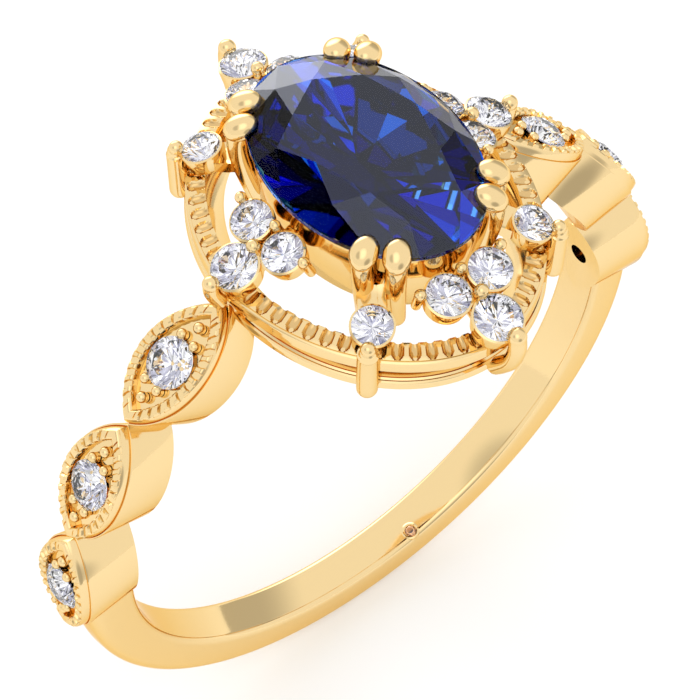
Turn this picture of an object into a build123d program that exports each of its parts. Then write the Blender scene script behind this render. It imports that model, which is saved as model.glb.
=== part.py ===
from build123d import *
import math
import os

# Halo engagement ring: oval centre stone, openwork oval halo and marquise shoulders.
# Millimetres. The origin is the centre of the finger hole, +Y runs along the finger
# and +Z points to the centre stone. Each named piece is written to its own file.

os.makedirs("parts", exist_ok=True)

# Finger hole and shank
BORE_R = 8.25
SHANK_R = 9.72
SHANK_HALF_WIDTH = 0.76
SHANK_INNER_ROUND = 0.1
SHANK_OUTER_ROUND = 0.42

# Marquise stations, three on each shoulder
STATION_ANGLES = (36.7, 59.9, 83.0)
STATION_SPAN = 23.15
STATION_TIP_JOIN = 0.08
STATION_FACE_R = 10.05
STATION_RIM_R = 10.25
STATION_HALF_WIDTH = 1.14
STATION_RIM_WIDTH = 0.3
STATION_FLOOR_R = 9.9
STATION_STONE_D = 1.3
STATION_STONE_R = 10.04
STATION_BEAD_D = 0.28
STATION_BEADS = ((0.76, 0.25), (0.76, -0.25), (1.16, 0))
AZURE_R = 0.4
AZURE_DEPTH = 1.1

# Centre stone and the basket that carries it
SAPPHIRE_HALF_X = 2.5
SAPPHIRE_HALF_Y = 3.5
GIRDLE_Z = 11.52
GIRDLE_HEIGHT = 0.12
CROWN_HEIGHT = 0.72
PAVILION_DEPTH = 2.1
TABLE_RATIO = 0.58
COLLAR_TOP_Z = 11.46
COLLAR_BOTTOM_Z = 9.35
COLLAR_WALL = 0.32
COLLAR_TAPER = 0.26
PRONG_FOOT_Z = 8.75
PRONG_TIPS = ((1.98, 2.43), (1.44, 2.98))
PRONG_FEET = ((1.67, 2.17), (1.16, 2.68))
PRONG_TIP_Z = 11.74
PRONG_R = 0.27
CLAW_R = 0.34

# Oval halo and the plain rail below it
OVAL_POWER = 1.08
HALO_INNER = (3.7, 4.6)
HALO_OUTER = (4.26, 5.2)
HALO_Z = (9.15, 9.52)
HALO_GRAIN_TOP = 9.68
RAIL_Z = (8.5, 8.76)
RAIL_INNER = (3.05, 3.95)
RAIL_OUTER = (4.16, 5.12)
FUNNEL_WALL = 0.2

# Single stones on the diagonals
SINGLE_XYZ = (2.48, 3.42, 10.39)
SINGLE_D = 1.0
SINGLE_TILT = 17
SINGLE_BEAD_XYZ = (2.93, 3.83, 10.27)
SINGLE_POST_FOOT_Z = 8.5

# Three-stone clusters: stones, shared beads and their outward tilt
END_STONES = (((0.64, 3.96, 10.64), 1.1), ((-0.64, 3.96, 10.64), 1.1), ((0, 5.03, 10.37), 1.2))
END_BEADS = (
    ((0, 4.38, 10.74), 0.35),
    ((0, 3.62, 10.82), 0.28),
    ((1.22, 3.62, 10.75), 0.3),
    ((-1.22, 3.62, 10.75), 0.3),
)
END_TILT = 14
SIDE_STONES = (((2.99, 0.62, 10.69), 1.05), ((2.99, -0.62, 10.69), 1.05), ((3.96, 0, 10.29), 1.2))
SIDE_BEADS = (
    ((3.39, 0, 10.64), 0.35),
    ((2.73, 0, 10.88), 0.28),
    ((2.83, 1.25, 10.8), 0.3),
    ((2.83, -1.25, 10.8), 0.3),
)
SIDE_TILT = 22
CUP_HEIGHT = 0.55
CUP_WALL = 0.06
CUP_TAPER = 0.88
END_POST = ((0, 5.7, 10.35), (0, 5.72, 9.6), (0, 5.2, 8.5))
END_POST_R = 0.23
SIDE_POST = ((4.66, 0, 10.14), (4.5, 0, 9.2))
SIDE_POST_R = 0.21

# Small stone set flush inside the shank
INSIDE_STONE_ANGLE = 167
INSIDE_STONE_Y = -0.4
INSIDE_STONE_D = 0.42
INSIDE_BEZEL_D = 0.6


def save(piece, name):
    """Label a finished piece and write its file."""
    piece.part.label = name
    export_step(piece.part, f"parts/{name}.step")


def radial_plane(angle, radius, y=0.0):
    """Plane facing outward at an angle from the top of the ring."""
    turn = math.radians(angle)
    outward = Vector(math.sin(turn), 0, math.cos(turn))
    return Plane(origin=outward * radius + Vector(0, y, 0), x_dir=(math.cos(turn), 0, -math.sin(turn)), z_dir=outward)


def leaning_plane(x, y, z, tilt, heading):
    """Plane whose normal leans away from the ring's Z axis towards a heading."""
    lean = math.radians(tilt)
    way = math.radians(heading)
    normal = Vector(math.sin(lean) * math.cos(way), math.sin(lean) * math.sin(way), math.cos(lean))
    return Plane(origin=(x, y, z), x_dir=(-math.sin(way), math.cos(way), 0), z_dir=normal)


def marquise(half_length, half_width):
    """Pointed oval outline drawn in the current sketch."""
    with BuildLine() as outline:
        ThreePointArc((-half_length, 0), (0, half_width), (half_length, 0))
        ThreePointArc((half_length, 0), (0, -half_width), (-half_length, 0))
    make_face(outline.line.edges())


def oval(half_x, half_y, mode=Mode.ADD):
    """Oval drawn in the current sketch, a little flatter on its diagonals than an ellipse."""
    points = []
    for step in range(48):
        across = math.cos(math.radians(7.5 * step))
        along = math.sin(math.radians(7.5 * step))
        x = half_x * math.copysign(abs(across) ** OVAL_POWER, across)
        y = half_y * math.copysign(abs(along) ** OVAL_POWER, along)
        points.append((x, y))
    with BuildLine() as outline:
        Spline(*points, periodic=True)
    make_face(outline.line.edges(), mode=mode)


def oval_ring(inner, outer, low, high, shape):
    """Flat ring between two outlines of one shape, spanning two heights."""
    with BuildPart() as ring:
        with BuildSketch(Plane.XY.offset(low)):
            shape(*outer)
            shape(*inner, mode=Mode.SUBTRACT)
        extrude(amount=high - low)
    return ring


def brilliants(places):
    """Round cut stones, each given as a plane at its girdle and a diameter."""
    with BuildPart() as stones:
        for plane, diameter in places:
            radius = diameter / 2
            with Locations(plane):
                Cylinder(radius, 0.06 * diameter)
            with Locations(plane.offset(0.03 * diameter)):
                Cone(radius, 0.57 * radius, 0.15 * diameter, align=(Align.CENTER, Align.CENTER, Align.MIN))
            with Locations(plane.offset(-0.03 * diameter)):
                Cone(0.05 * radius, radius, 0.4 * diameter, align=(Align.CENTER, Align.CENTER, Align.MAX))
    return stones


def post(start, end, radius):
    """Round post between two points in the current part."""
    foot = Vector(*start)
    head = Vector(*end)
    with Locations(Plane(origin=foot, z_dir=head - foot)):
        Cylinder(radius, (head - foot).length, align=(Align.CENTER, Align.CENTER, Align.MIN))


def bead(plane, along, across, radius, height):
    """Round-topped peg standing on a plane in the current part."""
    foot = plane.from_local_coords((along, across, 0))
    side = Plane(origin=foot, x_dir=plane.x_dir, z_dir=-plane.y_dir)
    with BuildSketch(side) as profile:
        with BuildLine() as outline:
            Polyline((0, height + radius), (0, 0), (radius, 0), (radius, height))
            CenterArc((0, height), radius, 0, 90)
        make_face(outline.line.edges())
    revolve(profile.sketch, axis=Axis(foot, plane.z_dir))


def carve(cutters):
    """Clear the room taken by neighbouring pieces from the current part."""
    for cutter in cutters:
        add(cutter.part, mode=Mode.SUBTRACT)


def station(angle, neighbours):
    """Marquise body running from the finger hole out to its recessed face."""
    half_turn = math.radians(STATION_SPAN / 2)
    low = BORE_R - 0.25
    high = STATION_RIM_R + 0.1
    with BuildPart() as body:
        with BuildSketch(radial_plane(angle, low)):
            marquise(low * math.tan(half_turn) + STATION_TIP_JOIN, STATION_HALF_WIDTH * low / STATION_RIM_R)
        with BuildSketch(radial_plane(angle, high)):
            marquise(high * math.tan(half_turn) + STATION_TIP_JOIN, STATION_HALF_WIDTH * high / STATION_RIM_R)
        loft()
        with Locations(Rotation(90, 0, 0)):
            Cylinder(STATION_FACE_R, 6, mode=Mode.INTERSECT)
            Cylinder(BORE_R, 6, mode=Mode.SUBTRACT)
        with BuildSketch(radial_plane(angle, STATION_FLOOR_R)):
            marquise(STATION_FACE_R * math.tan(half_turn) - 0.5, STATION_HALF_WIDTH - STATION_RIM_WIDTH)
        extrude(amount=1, mode=Mode.SUBTRACT)
        with Locations(radial_plane(angle, BORE_R - 0.3)):
            Cylinder(AZURE_R, AZURE_DEPTH + 0.3, align=(Align.CENTER, Align.CENTER, Align.MIN), mode=Mode.SUBTRACT)
        carve(neighbours)
    return body


def station_rim(angle, neighbours):
    """Beaded edge that borders a station's face, kept as a plain raised band."""
    half_turn = math.radians(STATION_SPAN / 2)
    with BuildPart() as rim:
        with BuildSketch(radial_plane(angle, STATION_FACE_R - 0.6)):
            marquise(STATION_RIM_R * math.tan(half_turn) - 0.06, STATION_HALF_WIDTH - 0.04)
        extrude(amount=1.2)
        with BuildSketch(radial_plane(angle, STATION_FACE_R - 0.7)):
            marquise(STATION_RIM_R * math.tan(half_turn) - 0.48, STATION_HALF_WIDTH - STATION_RIM_WIDTH)
        extrude(amount=1.4, mode=Mode.SUBTRACT)
        with Locations(Rotation(90, 0, 0)):
            Cylinder(STATION_RIM_R, 6, mode=Mode.INTERSECT)
            Cylinder(STATION_FACE_R, 6, mode=Mode.SUBTRACT)
        carve(neighbours)
    return rim


def station_beads(angle):
    """Six setting beads inside one station, three towards each point."""
    plane = radial_plane(angle, STATION_FLOOR_R)
    height = STATION_STONE_R + 0.04 - STATION_FLOOR_R
    with BuildPart() as beads:
        for way in (-1, 1):
            for along, across in STATION_BEADS:
                bead(plane, way * along, across, STATION_BEAD_D / 2, height)
    return beads


# Centre stone
with BuildPart() as centre_sapphire:
    with BuildSketch(Plane.XY.offset(GIRDLE_Z - GIRDLE_HEIGHT / 2)):
        Ellipse(SAPPHIRE_HALF_X, SAPPHIRE_HALF_Y)
    extrude(amount=GIRDLE_HEIGHT)
    with BuildSketch(Plane.XY.offset(GIRDLE_Z + GIRDLE_HEIGHT / 2)):
        Ellipse(SAPPHIRE_HALF_X, SAPPHIRE_HALF_Y)
    with BuildSketch(Plane.XY.offset(GIRDLE_Z + GIRDLE_HEIGHT / 2 + CROWN_HEIGHT)):
        Ellipse(SAPPHIRE_HALF_X * TABLE_RATIO, SAPPHIRE_HALF_Y * TABLE_RATIO)
    loft(ruled=True)
    with BuildSketch(Plane.XY.offset(GIRDLE_Z - GIRDLE_HEIGHT / 2)):
        Ellipse(SAPPHIRE_HALF_X, SAPPHIRE_HALF_Y)
    with BuildSketch(Plane.XY.offset(GIRDLE_Z - GIRDLE_HEIGHT / 2 - PAVILION_DEPTH)):
        Ellipse(0.05, 0.6)
    loft(ruled=True)

# Basket wall that follows the stone's outline just under its girdle
with BuildPart() as basket_collar:
    with BuildSketch(Plane.XY.offset(COLLAR_BOTTOM_Z)):
        Ellipse(SAPPHIRE_HALF_X - COLLAR_TAPER, SAPPHIRE_HALF_Y - COLLAR_TAPER)
    with BuildSketch(Plane.XY.offset(COLLAR_TOP_Z)):
        Ellipse(SAPPHIRE_HALF_X - 0.06, SAPPHIRE_HALF_Y - 0.08)
    loft()
    with BuildSketch(Plane.XY.offset(COLLAR_BOTTOM_Z)):
        Ellipse(SAPPHIRE_HALF_X - COLLAR_TAPER - COLLAR_WALL, SAPPHIRE_HALF_Y - COLLAR_TAPER - COLLAR_WALL)
    extrude(amount=3, mode=Mode.SUBTRACT)
    carve([centre_sapphire])

save(centre_sapphire, "centre_sapphire")
save(basket_collar, "basket_collar")

# Double-claw prongs, one pair on each diagonal
prong_pairs = []
for corner, flip_x, flip_y in (("ne", 1, 1), ("nw", -1, 1), ("se", 1, -1), ("sw", -1, -1)):
    with BuildPart() as prong_pair:
        for (tip_x, tip_y), (foot_x, foot_y) in zip(PRONG_TIPS, PRONG_FEET):
            tip = (flip_x * tip_x, flip_y * tip_y, PRONG_TIP_Z - 0.1)
            knee = (flip_x * (tip_x + 0.05), flip_y * (tip_y + 0.05), GIRDLE_Z - 0.5)
            foot = (flip_x * foot_x, flip_y * foot_y, PRONG_FOOT_Z)
            post(foot, knee, PRONG_R)
            post(knee, tip, PRONG_R)
            with Locations(foot, knee):
                Sphere(PRONG_R)
            with Locations(tip):
                Sphere(CLAW_R)
        carve([centre_sapphire, basket_collar])
    save(prong_pair, f"prong_pair_{corner}")
    prong_pairs.append(prong_pair)

# Shoulders: stations, beaded rims, beads and stones
stations = []
rims = []
for side, sign in (("right", 1), ("left", -1)):
    previous = []
    for number, angle in enumerate(STATION_ANGLES, start=1):
        turn = sign * angle
        body = station(turn, previous)
        previous.append(body)
        stations.append(body)
        stone = brilliants([(radial_plane(turn, STATION_STONE_R), STATION_STONE_D)])
        with BuildPart() as seated_body:
            add(body.part)
            carve([stone])
        rim = station_rim(turn, previous + [stone] + rims[-1:])
        rims.append(rim)
        beads = station_beads(turn)
        save(seated_body, f"station_{side}_{number}")
        save(rim, f"station_rim_{side}_{number}")
        save(beads, f"station_beads_{side}_{number}")
        save(stone, f"station_diamond_{side}_{number}")

# Small flush-set stone and its rim inside the shank
inside_plane = radial_plane(INSIDE_STONE_ANGLE, BORE_R + 0.08, INSIDE_STONE_Y)
with BuildPart() as inside_pink_stone:
    with Locations(inside_plane):
        Cylinder(INSIDE_STONE_D / 2, 0.3, align=(Align.CENTER, Align.CENTER, Align.MIN))
with BuildPart() as inside_bezel:
    with Locations(inside_plane):
        Cylinder(INSIDE_BEZEL_D / 2, 0.4, align=(Align.CENTER, Align.CENTER, Align.MIN))
    carve([inside_pink_stone])

# Plain lower part of the shank, a band that starts where the last stations end
band_start = math.radians(STATION_ANGLES[-1] + STATION_SPAN / 2 - 4)
band_side = math.radians(140)
with BuildPart() as shank:
    with BuildSketch(Plane.XY) as band_section:
        with Locations(((BORE_R + SHANK_R) / 2, 0)):
            Rectangle(SHANK_R - BORE_R, 2 * SHANK_HALF_WIDTH)
        fillet(band_section.vertices().group_by(Axis.X)[0], SHANK_INNER_ROUND)
        fillet(band_section.vertices().sort_by(Axis.X)[-2:], SHANK_OUTER_ROUND)
    revolve(axis=Axis.Y)
    with BuildSketch(Plane.XZ):
        with BuildLine():
            Polyline(
                (0, 0),
                (20 * math.sin(band_start), 20 * math.cos(band_start)),
                (20 * math.sin(band_side), 20 * math.cos(band_side)),
                (-20 * math.sin(band_side), 20 * math.cos(band_side)),
                (-20 * math.sin(band_start), 20 * math.cos(band_start)),
                close=True,
            )
        make_face()
    extrude(amount=3, both=True, mode=Mode.INTERSECT)
    carve(stations + rims + [inside_pink_stone, inside_bezel])
    with Locations(inside_plane):
        Cylinder(
            INSIDE_BEZEL_D / 2,
            0.3,
            align=(Align.CENTER, Align.CENTER, Align.MAX),
            mode=Mode.SUBTRACT,
        )
save(shank, "shank")
save(inside_pink_stone, "inside_pink_stone")
save(inside_bezel, "inside_bezel")

# Oval halo, its beaded top edge, and the rail below it with a funnel wall up to the halo
head_core = [basket_collar] + prong_pairs
gallery_rail = oval_ring(RAIL_INNER, RAIL_OUTER, *RAIL_Z, Ellipse)
with BuildPart() as lower_gallery_rail:
    with BuildSketch(Plane.XY.offset(RAIL_Z[1] - 0.02)):
        Ellipse(RAIL_INNER[0] + 0.1 + FUNNEL_WALL, RAIL_INNER[1] + 0.1 + FUNNEL_WALL)
    with BuildSketch(Plane.XY.offset(HALO_Z[0])):
        Ellipse(HALO_INNER[0] + FUNNEL_WALL, HALO_INNER[1] + FUNNEL_WALL)
    loft(ruled=True)
    with BuildSketch(Plane.XY.offset(RAIL_Z[1] - 0.03)):
        Ellipse(RAIL_INNER[0] + 0.1, RAIL_INNER[1] + 0.1)
    with BuildSketch(Plane.XY.offset(HALO_Z[0] + 0.01)):
        Ellipse(*HALO_INNER)
    loft(ruled=True, mode=Mode.SUBTRACT)
    add(gallery_rail.part)
halo_ring = oval_ring(HALO_INNER, HALO_OUTER, *HALO_Z, oval)
halo_milgrain = oval_ring(
    (HALO_INNER[0] + 0.05, HALO_INNER[1] + 0.05),
    (HALO_OUTER[0] - 0.05, HALO_OUTER[1] - 0.05),
    HALO_Z[1],
    HALO_GRAIN_TOP,
    oval,
)

# Single stones on the diagonals: cup, arm to the prongs and an outer post past both rails
singles = []
for corner, flip_x, flip_y in (("ne", 1, 1), ("nw", -1, 1), ("se", 1, -1), ("sw", -1, -1)):
    x, y, z = SINGLE_XYZ
    bead_x, bead_y, bead_z = SINGLE_BEAD_XYZ
    heading = math.degrees(math.atan2(flip_y * y, flip_x * x))
    plane = leaning_plane(flip_x * x, flip_y * y, z, SINGLE_TILT, heading)
    stone = brilliants([(plane, SINGLE_D)])
    with BuildPart() as seat:
        with Locations(plane.offset(-0.02)):
            Cone(
                CUP_TAPER * SINGLE_D / 2,
                SINGLE_D / 2 + CUP_WALL,
                CUP_HEIGHT,
                align=(Align.CENTER, Align.CENTER, Align.MAX),
            )
        post((flip_x * 1.75, flip_y * 2.75, 9.75), (flip_x * 2.5, flip_y * 3.42, 9.95), 0.2)
        post((flip_x * bead_x, flip_y * bead_y, SINGLE_POST_FOOT_Z), (flip_x * bead_x, flip_y * bead_y, bead_z), 0.22)
        with Locations((flip_x * bead_x, flip_y * bead_y, bead_z)):
            Sphere(0.24)
        with Locations((flip_x * bead_x, flip_y * bead_y, SINGLE_POST_FOOT_Z)):
            Sphere(0.22)
        carve([stone] + head_core)
    save(seat, f"single_seat_{corner}")
    save(stone, f"single_diamond_{corner}")
    singles.append(seat)

# Three-stone clusters at the ends and sides of the halo
clusters = []
for name, turn, stones_xyz, beads_xyz, tilt, post_path, post_r in (
    ("n", 0, END_STONES, END_BEADS, END_TILT, END_POST, END_POST_R),
    ("s", 180, END_STONES, END_BEADS, END_TILT, END_POST, END_POST_R),
    ("e", 0, SIDE_STONES, SIDE_BEADS, SIDE_TILT, SIDE_POST, SIDE_POST_R),
    ("w", 180, SIDE_STONES, SIDE_BEADS, SIDE_TILT, SIDE_POST, SIDE_POST_R),
):
    heading = turn + (90 if name in ("n", "s") else 0)
    flip = 1 if turn == 0 else -1
    planes = [(leaning_plane(flip * x, flip * y, z, tilt, heading), size) for (x, y, z), size in stones_xyz]
    stones = brilliants(planes)
    with BuildPart() as seat:
        for plane, size in planes:
            with Locations(plane.offset(-0.02)):
                Cone(CUP_TAPER * size / 2, size / 2 + CUP_WALL, CUP_HEIGHT, align=(Align.CENTER, Align.CENTER, Align.MAX))
        inner_x, inner_y = (0, 3.2) if heading % 180 == 90 else (2.25, 0)
        outer_x, outer_y = (0, 5.0) if heading % 180 == 90 else (4.0, 0)
        post((flip * inner_x, flip * inner_y, 10.3), (flip * outer_x, flip * outer_y, 9.75), 0.24)
        path = [(flip * x, flip * y, z) for x, y, z in post_path]
        for start, end in zip(path, path[1:]):
            post(start, end, post_r)
        with Locations(*path):
            Sphere(post_r + 0.005)
        carve([stones] + head_core + singles + stations + rims)
    with BuildPart() as beads:
        for (x, y, z), size in beads_xyz:
            post((flip * x, flip * y, z - 0.6), (flip * x, flip * y, z), 0.92 * size / 2)
            with Locations((flip * x, flip * y, z)):
                Sphere(size / 2)
        carve([stones, seat, centre_sapphire] + head_core)
    save(seat, f"cluster_seat_{name}")
    save(stones, f"cluster_diamonds_{name}")
    save(beads, f"cluster_beads_{name}")
    clusters.append(seat)
    clusters.append(beads)

for name, ring in (
    ("lower_gallery_rail", lower_gallery_rail),
    ("halo_ring", halo_ring),
    ("halo_milgrain", halo_milgrain),
):
    with BuildPart() as trimmed:
        add(ring.part)
        carve(singles + clusters + stations + rims)
    save(trimmed, name)
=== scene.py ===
import math

import bpy
from mathutils import Matrix, Vector


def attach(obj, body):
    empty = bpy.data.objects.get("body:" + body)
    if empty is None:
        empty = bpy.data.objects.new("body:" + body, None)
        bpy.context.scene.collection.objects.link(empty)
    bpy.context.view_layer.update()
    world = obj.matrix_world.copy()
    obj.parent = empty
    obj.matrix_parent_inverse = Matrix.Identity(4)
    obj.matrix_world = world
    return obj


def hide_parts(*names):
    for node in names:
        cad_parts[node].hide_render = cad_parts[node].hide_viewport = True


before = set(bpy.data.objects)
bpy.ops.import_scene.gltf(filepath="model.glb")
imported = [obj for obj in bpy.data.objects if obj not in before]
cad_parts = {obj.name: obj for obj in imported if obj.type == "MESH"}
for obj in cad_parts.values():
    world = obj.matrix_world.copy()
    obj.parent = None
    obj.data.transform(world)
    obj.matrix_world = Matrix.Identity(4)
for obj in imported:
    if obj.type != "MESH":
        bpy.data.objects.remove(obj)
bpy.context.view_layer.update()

MM = 0.001

# ---------------------------------------------------------------- dimensions in millimetres
BORE_R = 8.25
SHANK_R = 9.72
STATION_ANGLES = (36.7, 59.9, 83.0)
STATION_SPAN = 23.15
STATION_HALF_WIDTH = 1.14
STATION_TOP_R = 10.25
GIRDLE_Z = 11.52
SAPPHIRE = (2.5, 3.5)


# ---------------------------------------------------------------- mesh helpers
class Shape:
    """Vertices, faces and per-face material numbers of one piece, in millimetres."""

    def __init__(self):
        self.verts = []
        self.faces = []
        self.looks = []

    def add(self, verts, faces, looks=None):
        start = len(self.verts)
        self.verts += [Vector(v) for v in verts]
        self.faces += [tuple(i + start for i in f) for f in faces]
        self.looks += looks or [0] * len(faces)

    def build(self, name, materials, slot, nodes, sharp=40, flat=False):
        """Make the Blender object and tie it to the frame."""
        mesh = bpy.data.meshes.new(name)
        mesh.from_pydata([v * MM for v in self.verts], [], self.faces)
        mesh.update()
        for material in materials:
            mesh.materials.append(material)
        mesh.polygons.foreach_set("material_index", self.looks)
        mesh.polygons.foreach_set("use_smooth", [not flat] * len(mesh.polygons))
        if not flat:
            mesh.set_sharp_from_angle(angle=math.radians(sharp))
        piece = bpy.data.objects.new(name, mesh)
        bpy.context.scene.collection.objects.link(piece)
        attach(piece, "root")
        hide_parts(*nodes)
        return piece


def skin(sections, wrap=False, caps=True, closed=True):
    """Quads between successive sections of the same length."""
    count = len(sections[0])
    verts = [p for section in sections for p in section]
    faces = []
    total = len(sections)
    steps = total if wrap else total - 1
    around = count if closed else count - 1
    for i in range(steps):
        a = i * count
        b = ((i + 1) % total) * count
        for k in range(around):
            n = (k + 1) % count
            faces.append((a + k, a + n, b + n, b + k))
    if caps and not wrap:
        faces.append(tuple(reversed(range(count))))
        faces.append(tuple((total - 1) * count + k for k in range(count)))
    return verts, faces


def frame_for(direction):
    """Two unit vectors square to a direction."""
    d = Vector(direction).normalized()
    helper = Vector((0, 0, 1)) if abs(d.z) < 0.9 else Vector((0, 1, 0))
    u = helper.cross(d).normalized()
    return u, d.cross(u).normalized()


def tube(path, radii, sides=28, round_start=True, round_end=True):
    """Round bar along a path, with a radius at each point and domed ends."""
    points = [Vector(p) for p in path]
    tangents = []
    for i in range(len(points)):
        before = points[max(i - 1, 0)]
        after = points[min(i + 1, len(points) - 1)]
        tangents.append((after - before).normalized())
    u, v = frame_for(tangents[0])
    sections = []
    dome = [math.radians(a) for a in (84, 66, 48, 30, 14)]

    def ring(centre, radius):
        return [
            centre + (u * math.cos(2 * math.pi * k / sides) + v * math.sin(2 * math.pi * k / sides)) * radius
            for k in range(sides)
        ]

    for i, (p, r) in enumerate(zip(points, radii)):
        t = tangents[i]
        u = (u - t * u.dot(t)).normalized()
        v = t.cross(u).normalized()
        if i == 0 and round_start:
            for a in dome:
                sections.append(ring(p - t * r * math.sin(a), r * math.cos(a)))
        sections.append(ring(p, r))
        if i == len(points) - 1 and round_end:
            for a in reversed(dome):
                sections.append(ring(p + t * r * math.sin(a), r * math.cos(a)))
    return skin(sections)


def curve_points(points, count):
    """Smooth path through a few points."""
    pts = [Vector(p) for p in points]
    pts = [pts[0] * 2 - pts[1]] + pts + [pts[-1] * 2 - pts[-2]]
    result = []
    spans = len(pts) - 3
    for i in range(count + 1):
        s = i / count * spans
        k = min(int(s), spans - 1)
        t = s - k
        a, b, c, d = pts[k : k + 4]
        square = 2 * a - 5 * b + 4 * c - d
        cube = 3 * b - a - 3 * c + d
        result.append(0.5 * (2 * b + (c - a) * t + square * t * t + cube * t * t * t))
    return result


def ball(centre, radii, axes=None, rows=20, columns=32):
    """Ellipsoid about a centre, along three given axes."""
    if not isinstance(radii, (tuple, list)):
        radii = (radii, radii, radii)
    if axes is None:
        axes = (Vector((1, 0, 0)), Vector((0, 1, 0)), Vector((0, 0, 1)))
    centre = Vector(centre)
    verts = [centre + axes[2] * radii[2]]
    for i in range(1, rows):
        a = math.pi * i / rows
        for k in range(columns):
            b = 2 * math.pi * k / columns
            verts.append(
                centre
                + axes[0] * radii[0] * math.sin(a) * math.cos(b)
                + axes[1] * radii[1] * math.sin(a) * math.sin(b)
                + axes[2] * radii[2] * math.cos(a)
            )
    verts.append(centre - axes[2] * radii[2])
    faces = [(0, 1 + k, 1 + (k + 1) % columns) for k in range(columns)]
    for i in range(rows - 2):
        a = 1 + i * columns
        for k in range(columns):
            n = (k + 1) % columns
            faces.append((a + k, a + columns + k, a + columns + n, a + n))
    last = len(verts) - 1
    a = 1 + (rows - 2) * columns
    faces += [(last, a + (k + 1) % columns, a + k) for k in range(columns)]
    return verts, faces


def lathe(profile, origin, normal, steps=64, across=None):
    """Revolve (radius, height) pairs around a normal."""
    normal = Vector(normal).normalized()
    u, v = frame_for(normal)
    origin = Vector(origin)
    sections = []
    for k in range(steps):
        a = 2 * math.pi * k / steps
        out = u * math.cos(a) + v * math.sin(a)
        sections.append([origin + out * r + normal * h for r, h in profile])
    return skin(sections, wrap=True, caps=False, closed=True)


def clear_crown(k, kind):
    """Every crown facet takes the clear stone look."""
    return 0


def mixed_painted_sparkle(k):
    """Which backing tone a pavilion facet gets: bright, lilac or dark; these tones are painted sparkle,
    reflections and dark facets standing in for light through the stone.
    """
    return (1, 2, 1, 3, 1, 2, 2, 1, 3, 1, 2, 1, 1, 3, 2, 1, 2, 1, 3, 1, 1, 2, 3, 2)[k % 24]


def gem(
    origin,
    normal,
    u,
    half_u,
    half_v,
    table=0.57,
    crown=0.3,
    pavilion=0.86,
    girdle=0.06,
    keel=0.0,
    spin=0.0,
    jitter=0.08,
    crown_look=clear_crown,
    painted_sparkle_look=mixed_painted_sparkle,
):
    """Brilliant cut with 57 facets; heights are in units of the smaller half width."""
    normal = Vector(normal).normalized()
    u = (Vector(u) - normal * Vector(u).dot(normal)).normalized()
    v = normal.cross(u)
    origin = Vector(origin)
    unit = min(half_u, half_v)
    half_girdle = girdle * unit / 2

    def place(radius, angle, height):
        a = math.radians(angle) + spin
        return origin + u * half_u * radius * math.cos(a) + v * half_v * radius * math.sin(a) + normal * height

    verts = []
    faces = []
    looks = []

    def vertex(p):
        verts.append(p)
        return len(verts) - 1

    top = half_girdle + crown * unit
    bottom = -half_girdle - pavilion * unit
    middle_radius = 0.8
    middle_drop = (1 - middle_radius * math.cos(math.radians(22.5))) / (1 - table)
    middle_height = half_girdle + crown * unit * middle_drop
    low_radius = 0.26
    low_height = -half_girdle - pavilion * unit * (1 - low_radius * math.cos(math.radians(22.5)))
    table_ring = [vertex(place(table, 45 * k, top)) for k in range(8)]
    middle_ring = [vertex(place(middle_radius, 45 * k + 22.5, middle_height)) for k in range(8)]
    upper = [vertex(place(1, 5.625 * k, half_girdle)) for k in range(64)]
    lower = [vertex(place(1, 5.625 * k, -half_girdle)) for k in range(64)]
    uneven = [jitter * unit * (0.5 - (7 * k % 5) / 4) for k in range(8)]
    low_ring = [vertex(place(low_radius, 45 * k + 22.5, low_height + uneven[k])) for k in range(8)]
    if keel:
        culet = [vertex(origin + v * s * keel + normal * bottom) for s in (1, -1)]
    else:
        culet = [vertex(origin + normal * bottom)] * 2
    faces.append(tuple(table_ring))
    looks.append(0)
    for k in range(8):
        n = (k + 1) % 8
        p = (k - 1) % 8
        faces.append((table_ring[k], middle_ring[k], table_ring[n]))
        faces.append((table_ring[k], middle_ring[p], upper[8 * k], middle_ring[k]))
        faces.append(tuple([middle_ring[k]] + [upper[(8 * k + i) % 64] for i in range(0, 5)]))
        faces.append(tuple([middle_ring[k]] + [upper[(8 * k + i) % 64] for i in range(4, 9)]))
        looks += [crown_look(k, kind) for kind in ("star", "kite", "half", "half")]
        # pavilion facets take the backing tones: painted reflections and painted dark facets
        faces.append(tuple([low_ring[k]] + [lower[(8 * k + i) % 64] for i in range(4, -1, -1)]))
        faces.append(tuple([low_ring[k]] + [lower[(8 * k + i) % 64] for i in range(8, 3, -1)]))
        looks += [painted_sparkle_look(3 * k), painted_sparkle_look(3 * k + 1), painted_sparkle_look(3 * k + 2)]
        toward = math.sin(math.radians(45 * k) + spin)
        if keel and abs(toward) < 0.1:
            near, far = (culet[0], culet[1]) if k == 0 else (culet[1], culet[0])
            faces.append((lower[8 * k], low_ring[k], near, far, low_ring[p]))
        else:
            tip = culet[0] if toward > 0 else culet[1]
            faces.append((lower[8 * k], low_ring[k], tip, low_ring[p]))
    for k in range(64):
        n = (k + 1) % 64
        faces.append((upper[k], lower[k], lower[n], upper[n]))
        looks.append(0)
    return verts, faces, looks


def leaning(tilt, heading):
    """Unit vector tilted from +Z towards a heading, both in degrees."""
    lean = math.radians(tilt)
    way = math.radians(heading)
    return Vector((math.sin(lean) * math.cos(way), math.sin(lean) * math.sin(way), math.cos(lean)))


# ---------------------------------------------------------------- materials
def principled(name, **values):
    """Material whose Principled inputs are given by keyword, with underscores for spaces."""
    material = bpy.data.materials.new(name)
    material.use_nodes = True
    shader = material.node_tree.nodes["Principled BSDF"]
    for key, value in values.items():
        shader.inputs[key.replace("_", " ")].default_value = value
    return material


gold = principled(
    "polished_gold",
    Base_Color=(0.9, 0.675, 0.345, 1),
    Specular_Tint=(0.9, 0.7, 0.4, 1),
    Metallic=1.0,
    Roughness=0.08,
)
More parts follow.
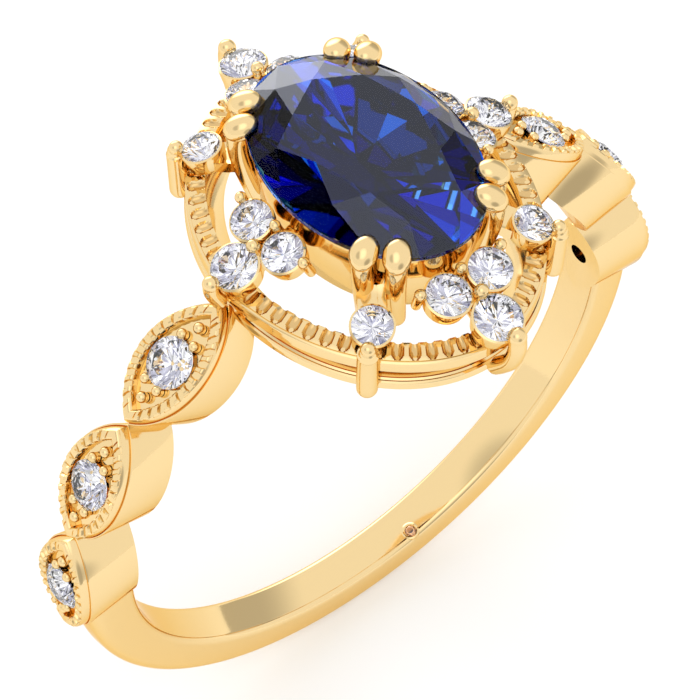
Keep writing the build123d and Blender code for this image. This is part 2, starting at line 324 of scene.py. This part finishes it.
# painted shade: a deeper gold tone for the small cut grooves, standing in for the darkening where the metal sees
# mostly itself
gold_groove_painted_shade = principled(
    "gold_groove_painted_shade",
    Base_Color=(0.74, 0.5, 0.22, 1),
    Specular_Tint=(0.74, 0.5, 0.22, 1),
    Metallic=1.0,
    Roughness=0.15,
)


def stone_looks(name, tint, ior, painted_sparkle_tones):
    """A clear crown and a few mirror-like backing tones for the facets below it; the backing tones are painted
    reflections, bright to dark, in place of light passing through the stone.
    """
    looks = [principled(name, Base_Color=tint, Roughness=0.0, IOR=ior, Transmission_Weight=1.0)]
    for k, colour in enumerate(painted_sparkle_tones):
        looks.append(
            principled(f"{name}_back_{k}", Base_Color=colour, Specular_Tint=colour, Metallic=1.0, Roughness=0.03)
        )
    return looks


# diamond backs: white, lilac-grey and dark grey tones, all painted sparkle and painted dark facets
diamond_looks = stone_looks(
    "diamond", (1, 1, 1, 1), 1.9, ((1.0, 1.0, 1.0, 1), (0.93, 0.93, 0.97, 1), (0.5, 0.5, 0.6, 1))
)
# pink stone backs: the pink is the stone's own colour; the spread from lighter to darker tones is painted
# reflection and shade
pink_looks = stone_looks(
    "pink_stone", (1, 0.8, 0.85, 1), 1.7, ((0.9, 0.25, 0.4, 1), (0.7, 0.12, 0.25, 1), (0.5, 0.08, 0.15, 1))
)
SAPPHIRE_TINT = (0.8, 0.85, 1.0, 1)
SAPPHIRE_IOR = 1.77
# sapphire backs: the blue is the stone's own colour; the spread from bright blue flashes to near-black navy is
# painted reflection and shade
sapphire_looks = stone_looks(
    "sapphire",
    SAPPHIRE_TINT,
    SAPPHIRE_IOR,
    ((0.12, 0.42, 1.0, 1), (0.01, 0.12, 0.6, 1), (0.0, 0.02, 0.16, 1)),
)
sapphire_shader = sapphire_looks[0].node_tree.nodes["Principled BSDF"]
sapphire_shader.inputs["Specular Tint"].default_value = (0.62, 0.66, 0.82, 1)
# the same clear stone without surface shine, for the crown facets that reflect nothing bright
sapphire_looks.append(
    principled(
        "sapphire_shade",
        Base_Color=SAPPHIRE_TINT,
        Roughness=0.0,
        IOR=SAPPHIRE_IOR,
        Transmission_Weight=1.0,
        Specular_Tint=(0.0, 0.0, 0.0, 1),
    )
)


# ---------------------------------------------------------------- shank
def on_ring(angle, radius, y):
    """Point at an angle from the top of the ring, a radius and a place across the band."""
    a = math.radians(angle)
    return Vector((radius * math.sin(a), y, radius * math.cos(a)))


def shank_profile(half_width):
    """Cross-section as (radius, y): flat inside with eased edges, softly arched outside."""
    points = []
    inner, outer = 0.2, 0.42

    def corner(cr, cy, size, start):
        for k in range(7):
            a = math.radians(start + 15 * k)
            points.append((cr + size * math.cos(a), cy + size * math.sin(a)))

    corner(BORE_R + inner, -half_width + inner, inner, 180)
    corner(SHANK_R - outer - 0.05, -half_width + outer, outer, 270)
    for k in range(1, 8):
        s = -1 + 2 * k / 8
        points.append((SHANK_R - 0.05 * s * s, s * (half_width - outer)))
    corner(SHANK_R - outer - 0.05, half_width - outer, outer, 0)
    corner(BORE_R + inner, half_width - inner, inner, 90)
    return points


SHANK_START = 87
SHANK_END = 273
SHANK_STEPS = 180
shape = Shape()
sections = []
for k in range(SHANK_STEPS + 1):
    angle = SHANK_START + (SHANK_END - SHANK_START) * k / SHANK_STEPS
    widen = abs(angle - 180) / 90
    half = 0.69 + 0.08 * widen**1.5
    sections.append([on_ring(angle, r, y) for r, y in shank_profile(half)])
shape.add(*skin(sections))
shape.build("fine_shank", [gold], "gold", ["shank"])


# ---------------------------------------------------------------- marquise stations
ARC_R = 10.0  # radius at which lengths along a station are measured
STATION_HALF_LENGTH = ARC_R * math.radians(STATION_SPAN / 2) + 0.02
STATION_FOOT_SCALE = 0.8  # width at the finger hole over width at the face
TIP_INSET = 1.25  # how much faster the points draw in than the sides
RIM_MARGIN = 0.13
RIM_WIDTH = 0.28
RIM_TEETH = 13
RIM_PER_TOOTH = 14
RIM_ACROSS = 12
BACK_HOLE_R = 0.4
SEAT_R = 0.63


def marquise_point(half_length, half_width, s, side):
    """Point on one edge of a marquise, s from -1 to 1 along its length."""
    radius = (half_length**2 + half_width**2) / (2 * half_width)
    reach = math.asin(half_length / radius)
    a = reach * s
    return radius * math.sin(a), side * (radius * math.cos(a) - radius + half_width)


def station_edge(inset, s, side):
    """Point on the station's edge line moved inward by an inset."""
    return marquise_point(STATION_HALF_LENGTH - TIP_INSET * inset, STATION_HALF_WIDTH - inset, s, side)


def station_outline(inset, steps=60):
    """Closed marquise loop moved inward by an inset."""
    points = [station_edge(inset, -1 + 2 * k / steps, 1) for k in range(steps)]
    points += [station_edge(inset, 1 - 2 * k / steps, -1) for k in range(steps)]
    return points


def station_circle(radius, steps=60):
    """Closed round loop with as many points as the outline and the same start."""
    angles = [math.pi * (1 - k / steps) for k in range(2 * steps)]
    return [(radius * math.cos(a), radius * math.sin(a)) for a in angles]


def station_place(middle, t, y, r):
    """Point at a length t along the ring from the station's middle, and at a radius."""
    height = (r - BORE_R) / (STATION_TOP_R - BORE_R)
    taper = STATION_FOOT_SCALE + (1 - STATION_FOOT_SCALE) * height
    return on_ring(middle + math.degrees(t / ARC_R), r, y * taper)


def groove_reach(across, centre):
    """Half height of a lens-shaped groove at a place across its band, 1 at the centre."""
    return math.sqrt(max(0.0, 1 - ((across - centre) / 0.55) ** 2))


def groove_depth(tooth, across, centre, width):
    """Depth of the groove cut once per tooth, from 0 on the flat to 1 at its middle."""
    reach = groove_reach(across, centre)
    v = (tooth % 1.0 - 0.5) / (0.01 + width * reach)
    return math.sqrt(1 - v * v) * reach if abs(v) < 1 else 0.0


def groove_painted_shade_look(tooth, across, centre, width):
    """Material number: 1 for a face inside the groove, which takes the painted groove shade, and 0 elsewhere."""
    return int(abs(tooth % 1.0 - 0.5) < width * groove_reach(across, centre))


def station_body(middle):
    """Body from the finger hole to its face: hole at the back, stepped side, stone seat."""
    inner = RIM_MARGIN + RIM_WIDTH
    levels = [
        (station_circle(BACK_HOLE_R), 9.35),
        (station_circle(BACK_HOLE_R), BORE_R),
        (station_outline(0), BORE_R),
        (station_outline(0), BORE_R + 0.03),
        (station_outline(0), 9.83),
        (station_outline(0.015), 9.86),
        (station_outline(0.04), 9.86),
        (station_outline(0.055), 9.82),
        (station_outline(0.08), 9.95),
        (station_outline(0.11), 10.06),
        (station_outline(0.15), 10.1),
        (station_outline(inner - 0.03), 10.1),
        (station_outline(inner), 9.93),
        (station_circle(SEAT_R), 9.93),
        (station_circle(BACK_HOLE_R / 2), 9.5),
    ]
    body = Shape()
    body.add(*skin([[station_place(middle, t, y, r) for t, y in loop] for loop, r in levels]))
    return body


def station_rim(middle):
    """Raised rim in two halves that meet at the points, cut across by small grooves whose faces take the painted
    groove shade.
    """
    rim = Shape()
    steps = RIM_TEETH * RIM_PER_TOOTH
    for side in (1, -1):
        lines = []
        looks = []
        for k in range(steps + 1):
            s = -1 + 2 * k / steps
            grooved = 0.06 < k / steps < 0.94
            outer = station_edge(RIM_MARGIN, s, side)
            inner = station_edge(RIM_MARGIN + RIM_WIDTH, s, side)
            line = [station_place(middle, *outer, 10.02)]
            for w in range(RIM_ACROSS + 1):
                f = w / RIM_ACROSS
                t = outer[0] + (inner[0] - outer[0]) * f
                y = outer[1] + (inner[1] - outer[1]) * f
                crown = 1 - (2 * f - 1) ** 4
                cut = groove_depth(k / RIM_PER_TOOTH, f, 0.5, 0.34) if grooved else 0.0
                line.append(station_place(middle, t, y, 10.1 + 0.07 * crown - 0.12 * cut))
            line.append(station_place(middle, *inner, 9.94))
            lines.append(line)
            if k == steps:
                continue
            for j in range(RIM_ACROSS + 3):
                on_top = grooved and 1 <= j <= RIM_ACROSS
                tooth = (k + 0.5) / RIM_PER_TOOTH
                # faces on top inside a groove get material 1, the painted groove shade
                looks.append(groove_painted_shade_look(tooth, (j - 0.5) / RIM_ACROSS, 0.5, 0.32) if on_top else 0)
        rim.add(*skin(lines, caps=False), looks)
    return rim


def station_beads(middle):
    """Three setting beads at each end of the stone."""
    beads = Shape()
    for way in (-1, 1):
        for along, across, size in ((0.72, 0.25, 0.14), (0.72, -0.25, 0.14), (1.12, 0, 0.15)):
            centre = station_place(middle, way * along, across, 10.07)
            foot = station_place(middle, way * along, across, 9.95)
            beads.add(*ball(centre, size))
            beads.add(*tube([foot, centre], [0.13, 0.13], round_start=False, round_end=False))
    return beads


for side, sign in (("right", 1), ("left", -1)):
    for number, angle in enumerate(STATION_ANGLES, start=1):
        middle = sign * angle
        tag = f"{side}_{number}"
        normal = on_ring(middle, 1, 0)
        stone = Shape()
        stone.add(*gem(normal * 10.05, normal, Vector((0, 1, 0)), 0.66, 0.66, spin=0.2))
        station_body(middle).build(f"fine_station_{tag}", [gold], "gold", [f"station_{tag}"], sharp=35)
        rim = station_rim(middle)
        # the rim's second material is the painted groove shade
        rim.build(f"fine_rim_{tag}", [gold, gold_groove_painted_shade], "gold", [f"station_rim_{tag}"], sharp=32)
        station_beads(middle).build(f"fine_beads_{tag}", [gold], "gold", [f"station_beads_{tag}"])
        name = f"station_diamond_{tag}"
        stone.build(f"fine_{name}", diamond_looks, "diamond", [name], flat=True)


# ---------------------------------------------------------------- halo and lower rail
HALO_MID = (3.97, 4.89)
HALO_POWER = 1.08
HALO_TEETH = 68
HALO_PER_TOOTH = 16
HALO_SECTION = (
    (-0.26, 9.2),
    (-0.22, 9.14),
    (0.22, 9.14),
    (0.26, 9.18),
    (0.26, 9.44),
    (0.25, 9.49),
    (0.21, 9.52),
    (0.16, 9.53),
    (-0.2, 9.5),
    (-0.26, 9.45),
)
GRAIN_INNER = -0.255
GRAIN_WIDTH = 0.45
GRAIN_ACROSS = 14
GRAIN_CENTRE = 0.45  # where across the edge its grooves are widest
RAIL_MID = (3.94, 4.89)
# flat rail with two fine lines on its edge, and the funnel wall that rises from it to the halo
RAIL_SECTION = (
    (-0.78, 8.54),
    (-0.74, 8.5),
    (0.17, 8.5),
    (0.22, 8.55),
    (0.22, 8.68),
    (0.19, 8.74),
    (0.14, 8.76),
    (0.09, 8.73),
    (0.04, 8.76),
    (-0.02, 8.72),
    (-0.5, 8.74),
    (-0.1, 9.12),
    (-0.26, 9.12),
    (-0.72, 8.7),
)


def oval_path(half_x, half_y, count, power=1.0):
    """Points round an oval with outward directions; a power above 1 flattens its diagonals."""
    pts = []
    for k in range(count):
        c = math.cos(2 * math.pi * k / count)
        s = math.sin(2 * math.pi * k / count)
        x = half_x * math.copysign(abs(c) ** power, c)
        y = half_y * math.copysign(abs(s) ** power, s)
        pts.append(Vector((x, y, 0)))
    result = []
    for k, p in enumerate(pts):
        run = pts[(k + 4) % count] - pts[k - 4]
        result.append((p, Vector((run.y, -run.x, 0)).normalized()))
    return result


def oval_band(path, section_at):
    """Closed band round an oval; section_at gives (outward, height) points at each step."""
    sections = []
    for k, (p, n) in enumerate(path):
        sections.append([p + n * w + Vector((0, 0, z)) for w, z in section_at(k)])
    return skin(sections, wrap=True, caps=False)


def grain_section(k):
    """Section of the halo's beaded edge, with its grooves cut from the inside outward."""
    points = [(GRAIN_INNER, 9.42)]
    for w in range(GRAIN_ACROSS + 1):
        f = w / GRAIN_ACROSS
        cut = groove_depth(k / HALO_PER_TOOTH, f, GRAIN_CENTRE, 0.36)
        points.append((GRAIN_INNER + GRAIN_WIDTH * f, 9.68 - 0.1 * f * f - 0.13 * cut))
    points.append((GRAIN_INNER + GRAIN_WIDTH, 9.44))
    return points


def grain_looks(k):
    """Material numbers of the faces between one grain section and the next; faces inside the grooves take the
    painted groove shade.
    """
    tooth = (k + 0.5) / HALO_PER_TOOTH
    top = [groove_painted_shade_look(tooth, (j + 0.5) / GRAIN_ACROSS, GRAIN_CENTRE, 0.34) for j in range(GRAIN_ACROSS)]
    return [0] + top + [0, 0]


path = oval_path(*HALO_MID, HALO_TEETH * HALO_PER_TOOTH, power=HALO_POWER)
shape = Shape()
shape.add(*oval_band(path, lambda k: HALO_SECTION))
shape.build("fine_halo", [gold], "gold", ["halo_ring"], sharp=35)

shape = Shape()
shape.add(*oval_band(path, grain_section), [look for k in range(len(path)) for look in grain_looks(k)])
# the second material is the painted shade in the grooves
shape.build("fine_milgrain", [gold, gold_groove_painted_shade], "gold", ["halo_milgrain"], sharp=32)

shape = Shape()
shape.add(*oval_band(oval_path(*RAIL_MID, 400), lambda k: RAIL_SECTION))
shape.build("fine_rail", [gold], "gold", ["lower_gallery_rail"], sharp=30)

# ---------------------------------------------------------------- basket
# (inset from the stone's outline, height) round the wall under the stone
COLLAR_SECTION = (
    (0.27, 9.39),
    (0.3, 9.35),
    (0.52, 9.35),
    (0.56, 9.39),
    (0.5, 11.05),
    (0.12, 11.4),
    (0.06, 11.44),
    (0.04, 11.4),
    (0.08, 11.25),
    (0.11, 10.9),
)
COLLAR_STEPS = 180
# tip and foot of each claw of a pair, as (x, y) in the first quarter
PRONGS = (((1.951, 2.394), (1.62, 2.12)), ((1.412, 2.944), (1.12, 2.66)))
PRONG_TIP_Z = 11.68
PRONG_FOOT_Z = 8.78
CLAW_RADII = (0.45, 0.35, 0.31)
CORNERS = (("ne", 1, 1), ("nw", -1, 1), ("se", 1, -1), ("sw", -1, -1))

shape = Shape()
sections = []
for k in range(COLLAR_STEPS):
    a = 2 * math.pi * k / COLLAR_STEPS
    sections.append(
        [
            Vector(((SAPPHIRE[0] - inset) * math.cos(a), (SAPPHIRE[1] - inset) * math.sin(a), z))
            for inset, z in COLLAR_SECTION
        ]
    )
shape.add(*skin(sections, wrap=True, caps=False))
shape.build("fine_collar", [gold], "gold", ["basket_collar"], sharp=35)


def prong(shape, tip, foot):
    """Round bar that rises from its foot and bends in to an oval claw over the stone's edge."""
    outward = Vector((tip.x / SAPPHIRE[0] ** 2, tip.y / SAPPHIRE[1] ** 2, 0)).normalized()
    side = outward.cross(Vector((0, 0, 1)))
    lean = (outward * 0.9 + Vector((0, 0, -0.42))).normalized()
    rise = side.cross(lean).normalized()
    if rise.z < 0:
        rise = -rise
    knee = tip + outward * 0.1 + Vector((0, 0, -0.45))
    path = curve_points([foot, knee + Vector((0, 0, -0.9)) - outward * 0.1, knee, tip], 24)
    shape.add(*tube(path, [0.25 + 0.03 * (i / 24) for i in range(25)], sides=32))
    shape.add(*ball(tip, CLAW_RADII, (lean, side, rise)))


for corner, fx, fy in CORNERS:
    shape = Shape()
    for (tx, ty), (bx, by) in PRONGS:
        prong(shape, Vector((fx * tx, fy * ty, PRONG_TIP_Z)), Vector((fx * bx, fy * by, PRONG_FOOT_Z)))
    shape.build(f"fine_prongs_{corner}", [gold], "gold", [f"prong_pair_{corner}"])


# ---------------------------------------------------------------- centre stone
def sapphire_crown(k, kind):
    """Crown facets on the two long sides stay free of surface shine."""
    return 4 if k in (3, 4, 7, 0) and kind != "star" else 0


def sapphire_painted_sparkle(k):
    """Backing tones of the pavilion facets, mostly deep blue with a few bright ones; the blue is the stone's own
    colour, while the bright flashes and near-black facets are painted reflection and shade.
    """
    return (2, 3, 3, 2, 1, 3, 2, 3, 2, 3, 2, 3, 1, 2, 3, 3, 2, 3, 2, 1, 3, 2, 3, 3)[k % 24]


shape = Shape()
shape.add(
    *gem(
        (0, 0, GIRDLE_Z),
        (0, 0, 1),
        (1, 0, 0),
        *SAPPHIRE,
        table=0.6,
        crown=0.3,
        pavilion=0.8,
        girdle=0.05,
        keel=0.35,
        jitter=0.0,
        crown_look=sapphire_crown,
        painted_sparkle_look=sapphire_painted_sparkle,
    )
)
shape.build("fine_sapphire", sapphire_looks, "sapphire", ["centre_sapphire"], flat=True)

# ---------------------------------------------------------------- single stones
# (radius over the stone's radius, height); entries above CUP_RIM are the wall, which is CUP_WALL thick
CUP = (
    (1.0, -0.01),
    (1.07, -0.03),
    (1.07, -0.1),
    (0.98, -0.5),
    (0.85, -0.56),
    (0.5, -0.56),
    (0.45, -0.5),
    (0.9, -0.1),
)
CUP_RIM = 1.05
CUP_WALL = 0.05
SINGLE = (2.479, 3.416, 10.388)
SINGLE_HALF = 0.5
SINGLE_TILT = 17
SINGLE_BEAD = (2.932, 3.83, 10.274)
# (distance in from the stone, half width, height above the stone) along the arm to the basket
SINGLE_ARM = (
    (1.55, 0.22, -0.2),
    (1.12, 0.22, -0.2),
    (1.1, 0.3, 0.14),
    (1.02, 0.34, 0.1),
    (0.8, 0.35, 0.02),
    (0.3, 0.35, -0.1),
)
ARM_DEPTH = 0.34


def cup(shape, origin, normal, half):
    """Tapered cup that holds a round stone of a given half width."""
    profile = [(r * half if r < CUP_RIM else half + CUP_WALL, h) for r, h in CUP]
    shape.add(*lathe(profile, origin, normal))


def arm(origin, along):
    """Flat arm with a shallow channel along its top, from the basket to the cup."""
    across = Vector((0, 0, 1)).cross(along)
    drop = Vector((0, 0, -ARM_DEPTH))
    dip = Vector((0, 0, 0.05))
    sections = []
    for inset, half_width, top in SINGLE_ARM:
        centre = origin + Vector((0, 0, top)) - along * inset
        sections.append(
            [
                centre + across * half_width + drop,
                centre + across * half_width,
                centre + across * half_width * 0.45 - dip,
                centre,
                centre - across * half_width * 0.45 - dip,
                centre - across * half_width,
                centre - across * half_width + drop,
            ]
        )
    return skin(sections)


for corner, fx, fy in CORNERS:
    origin = Vector((fx * SINGLE[0], fy * SINGLE[1], SINGLE[2]))
    bead = Vector((fx * SINGLE_BEAD[0], fy * SINGLE_BEAD[1], SINGLE_BEAD[2]))
    heading = math.degrees(math.atan2(origin.y, origin.x))
    normal = leaning(SINGLE_TILT, heading)
    along = leaning(90, heading)
    along.z = 0
    stem = [(bead.x, bead.y, 8.72), (bead.x, bead.y, 9.9), bead + along * 0.02 - Vector((0, 0, 0.14))]
    shape = Shape()
    cup(shape, origin, normal, SINGLE_HALF)
    shape.add(*arm(origin, along))
    shape.add(*tube(curve_points(stem, 12), [0.265] * 11 + [0.25, 0.22], sides=32))
    shape.add(*ball(bead, 0.19))
    shape.build(f"fine_single_seat_{corner}", [gold], "gold", [f"single_seat_{corner}"])
    stone = Shape()
    stone.add(*gem(origin, normal, (1, 0, 0), SINGLE_HALF, SINGLE_HALF, spin=0.3 * fx))
    name = f"single_diamond_{corner}"
    stone.build(f"fine_{name}", diamond_looks, "diamond", [name], flat=True)

# ---------------------------------------------------------------- clusters
# Stones and beads are (place, radius); the post runs from its bead down to the halo, and the bar ties
# the cups to the basket. END is drawn at +Y and SIDE at +X.
END = {
    "stones": (((0.641, 3.956, 10.637), 0.55), ((-0.641, 3.956, 10.637), 0.55), ((0, 5.029, 10.369), 0.6)),
    "beads": (
        ((0, 4.378, 10.73), 0.175),
        ((0, 3.629, 10.82), 0.145),
        ((1.223, 3.617, 10.745), 0.15),
        ((-1.223, 3.617, 10.745), 0.15),
    ),
    "tilt": 14,
    "post": ((0, 5.7, 10.345), (0, 5.75, 9.9), (0, 5.62, 9.3), (0, 5.3, 8.75), (0, 5.12, 8.5)),
    "post_r": 0.225,
    "bar": ((0, 3.3, 10.1), (0, 4.85, 9.5)),
}
SIDE = {
    "stones": (((2.986, 0.618, 10.688), 0.525), ((2.986, -0.618, 10.688), 0.525), ((3.962, 0, 10.285), 0.6)),
    "beads": (
        ((3.385, 0, 10.62), 0.175),
        ((2.729, 0, 10.88), 0.145),
        ((2.826, 1.245, 10.8), 0.15),
        ((2.826, -1.245, 10.8), 0.15),
    ),
    "tilt": 22,
    "post": ((4.657, 0, 10.142), (4.64, 0, 9.8), (4.45, 0, 9.3)),
    "post_r": 0.2,
    "bar": ((2.4, 0, 10.2), (3.9, 0, 9.4)),
}
BAR_R = 0.2


def turned(place, flip):
    """A place on the drawn end, or on the opposite one when flip is -1."""
    return Vector((flip * place[0], flip * place[1], place[2]))


for name, plan, flip, heading in (
    ("n", END, 1, 90),
    ("s", END, -1, 270),
    ("e", SIDE, 1, 0),
    ("w", SIDE, -1, 180),
):
    normal = leaning(plan["tilt"], heading)
    seat = Shape()
    stones = Shape()
    beads = Shape()
    for k, (p, half) in enumerate(plan["stones"]):
        cup(seat, turned(p, flip), normal, half)
        stones.add(*gem(turned(p, flip), normal, (1, 0, 0), half, half, spin=0.35 + 0.5 * k))
    seat.add(*tube([turned(p, flip) for p in plan["bar"]], [BAR_R, BAR_R]))
    post = curve_points([turned(p, flip) for p in plan["post"]], 20)
    seat.add(*tube(post, [plan["post_r"]] * 21, sides=32))
    seat.add(*ball(post[0], plan["post_r"] + 0.01))
    for p, r in plan["beads"]:
        place = turned(p, flip)
        beads.add(*ball(place, r))
        beads.add(*tube([place - normal * 0.55, place], [0.85 * r, 0.9 * r]))
    seat.build(f"fine_cluster_seat_{name}", [gold], "gold", [f"cluster_seat_{name}"])
    beads.build(f"fine_cluster_beads_{name}", [gold], "gold", [f"cluster_beads_{name}"])
    node = f"cluster_diamonds_{name}"
    stones.build(f"fine_{node}", diamond_looks, "diamond", [node], flat=True)

# ---------------------------------------------------------------- small stone inside the shank
INSIDE_ANGLE = 167
INSIDE_Y = -0.4
INSIDE_HALF = 0.2
outward = on_ring(INSIDE_ANGLE, 1, 0)
centre = outward * BORE_R + Vector((0, INSIDE_Y, 0))
shape = Shape()
shape.add(*gem(centre + outward * 0.02, -outward, (0, 1, 0), INSIDE_HALF, INSIDE_HALF))
shape.build("fine_inside_stone", pink_looks, "pink_stone", ["inside_pink_stone"], flat=True)
shape = Shape()
shape.add(*lathe(((0.2, 0.0), (0.24, 0.03), (0.29, 0.0), (0.29, -0.2), (0.2, -0.2)), centre, -outward))
shape.build("fine_inside_bezel", [gold], "gold", ["inside_bezel"])

# ---------------------------------------------------------------- stage
mesh = bpy.data.meshes.new("floor")
size = 120 * MM
z = -SHANK_R * MM
mesh.from_pydata([(-size, -size, z), (size, -size, z), (size, size, z), (-size, size, z)], [], [(0, 1, 2, 3)])
floor = bpy.data.objects.new("floor", mesh)
bpy.context.scene.collection.objects.link(floor)
mesh.materials.append(
    principled(
        "white_floor",
        Base_Color=(0.88, 0.88, 0.88, 1),
        Roughness=0.9,
        Specular_IOR_Level=0.0,
        Emission_Color=(1, 1, 1, 1),
        Emission_Strength=0.16,
    )
)

# ---------------------------------------------------------------- world light
world = bpy.data.worlds.new("studio")
bpy.context.scene.world = world
world.use_nodes = True
tree = world.node_tree
tree.nodes.clear()
coords = tree.nodes.new("ShaderNodeTexCoord")


def node_math(operation, a, b):
    """Maths node on two sockets or numbers; returns its output."""
    node = tree.nodes.new("ShaderNodeMath")
    node.operation = operation
    for socket, value in zip(node.inputs, (a, b)):
        if isinstance(value, (int, float)):
            socket.default_value = value
        else:
            tree.links.new(value, socket)
    return node.outputs[0]


BASE_LIGHT = 1.02
BACKDROP_LIGHT = 1.05
# direction towards the patch, half angle where it is full, half angle where it ends, added light
PATCHES = (
    ((-0.15, -0.97, 0.12), 8, 26, -0.5),
    ((0.9, 0.42, 0.0), 16, 40, -0.45),
    ((0.356, 0.927, 0.119), 14, 34, 2.0),
    ((-0.4, -0.3, 0.85), 10, 30, 0.45),
    ((-0.75, 0.05, 0.66), 8, 22, -0.35),
)
light = None
for direction, full, end, amount in PATCHES:
    dot = tree.nodes.new("ShaderNodeVectorMath")
    dot.operation = "DOT_PRODUCT"
    tree.links.new(coords.outputs["Generated"], dot.inputs[0])
    dot.inputs[1].default_value = Vector(direction).normalized()
    ramp = tree.nodes.new("ShaderNodeMapRange")
    ramp.interpolation_type = "SMOOTHSTEP"
    ramp.inputs["From Min"].default_value = math.cos(math.radians(end))
    ramp.inputs["From Max"].default_value = math.cos(math.radians(full))
    ramp.inputs["To Min"].default_value = 0.0
    ramp.inputs["To Max"].default_value = amount
    tree.links.new(dot.outputs["Value"], ramp.inputs["Value"])
    light = node_math("ADD", ramp.outputs[0], BASE_LIGHT if light is None else light)
background = tree.nodes.new("ShaderNodeBackground")
tree.links.new(node_math("MAXIMUM", light, 0.02), background.inputs["Strength"])
background.inputs["Color"].default_value = (1, 1, 1, 1)
plain = tree.nodes.new("ShaderNodeBackground")
plain.inputs["Color"].default_value = (1, 1, 1, 1)
plain.inputs["Strength"].default_value = BACKDROP_LIGHT
rays = tree.nodes.new("ShaderNodeLightPath")
pick = tree.nodes.new("ShaderNodeMixShader")
tree.links.new(rays.outputs["Is Camera Ray"], pick.inputs[0])
tree.links.new(background.outputs[0], pick.inputs[1])
tree.links.new(plain.outputs[0], pick.inputs[2])
output = tree.nodes.new("ShaderNodeOutputWorld")
tree.links.new(pick.outputs[0], output.inputs["Surface"])

# ---------------------------------------------------------------- camera
CAMERA_PLACE = (-20.4727, -25.0031, 50.0928)
CAMERA_LENS = 107.68
# where the camera stands as seen from the point it looks at, and its turn about its own axis
CAMERA_AZIMUTH = 231.2321
CAMERA_ELEVATION = 55.3908
CAMERA_ROLL = 0.8816

camera_data = bpy.data.cameras.new("camera")
camera_data.sensor_width = 36
camera_data.lens = CAMERA_LENS
camera_data.clip_start = 0.001
camera_data.clip_end = 10
camera = bpy.data.objects.new("camera", camera_data)
bpy.context.scene.collection.objects.link(camera)
back = leaning(90 - CAMERA_ELEVATION, CAMERA_AZIMUTH)
level = Vector((0, 0, 1)).cross(back).normalized()
roll = math.radians(CAMERA_ROLL)
right = level * math.cos(roll) + back.cross(level) * math.sin(roll)
turn = Matrix((right, back.cross(right), back)).transposed().to_4x4()
camera.matrix_world = Matrix.Translation(Vector(CAMERA_PLACE) * MM) @ turn
scene = bpy.context.scene
scene.camera = camera
scene.view_settings.view_transform = "Standard"
scene.cycles.max_bounces = 24
scene.cycles.transmission_bounces = 20
scene.cycles.glossy_bounces = 5
